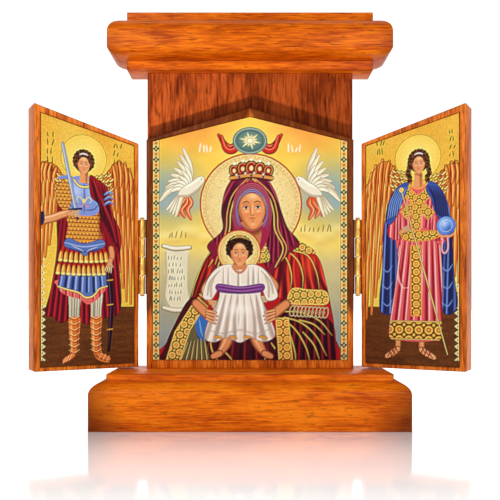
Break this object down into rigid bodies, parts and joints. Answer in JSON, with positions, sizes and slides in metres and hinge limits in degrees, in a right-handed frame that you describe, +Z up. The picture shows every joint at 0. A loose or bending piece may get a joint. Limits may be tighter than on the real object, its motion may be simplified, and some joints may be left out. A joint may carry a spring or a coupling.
{
  "type": "triptych altarpiece",
  "caption": "Small wooden folding triptych: a gabled picture panel on a moulded base under a moulded cornice, with gabled picture wings on brass pin hinges.",
  "frame": {"origin": "centre of the base's underside", "axes": "+Z up, the pictures face -Y, +X to the viewer's right"},
  "size_m": [0.2294, 0.053, 0.2195],
  "materials": {
    "varnished_wood": "gloss varnish",
    "dark_wood": "gloss varnish",
    "painted_picture": "satin print",
    "brass": "satin"
  },
  "bodies": {
    "stand": {"base": "varnished_wood", "backboard": "dark_wood", "center_panel": "varnished_wood", "center_icon": "painted_picture", "cornice": "varnished_wood", "left_panel_leaf": "brass", "left_hinge_pin": "brass", "right_panel_leaf": "brass", "right_hinge_pin": "brass"},
    "left_wing": {"left_wing": "varnished_wood", "left_icon": "painted_picture", "left_wing_leaf": "brass"},
    "right_wing": {"right_wing": "varnished_wood", "right_icon": "painted_picture", "right_wing_leaf": "brass"}
  },
  "joints": [
    {"name": "left_wing_hinge", "type": "hinge", "parent": "stand", "child": "left_wing", "pos_m": [-0.0582, 0.0098, 0.08775], "axis": [0, 0, 1], "range_deg": [-29, 151]},
    {"name": "right_wing_hinge", "type": "hinge", "parent": "stand", "child": "right_wing", "pos_m": [0.0582, 0.0098, 0.08775], "axis": [0, 0, -1], "range_deg": [-29, 151]}
  ]
}
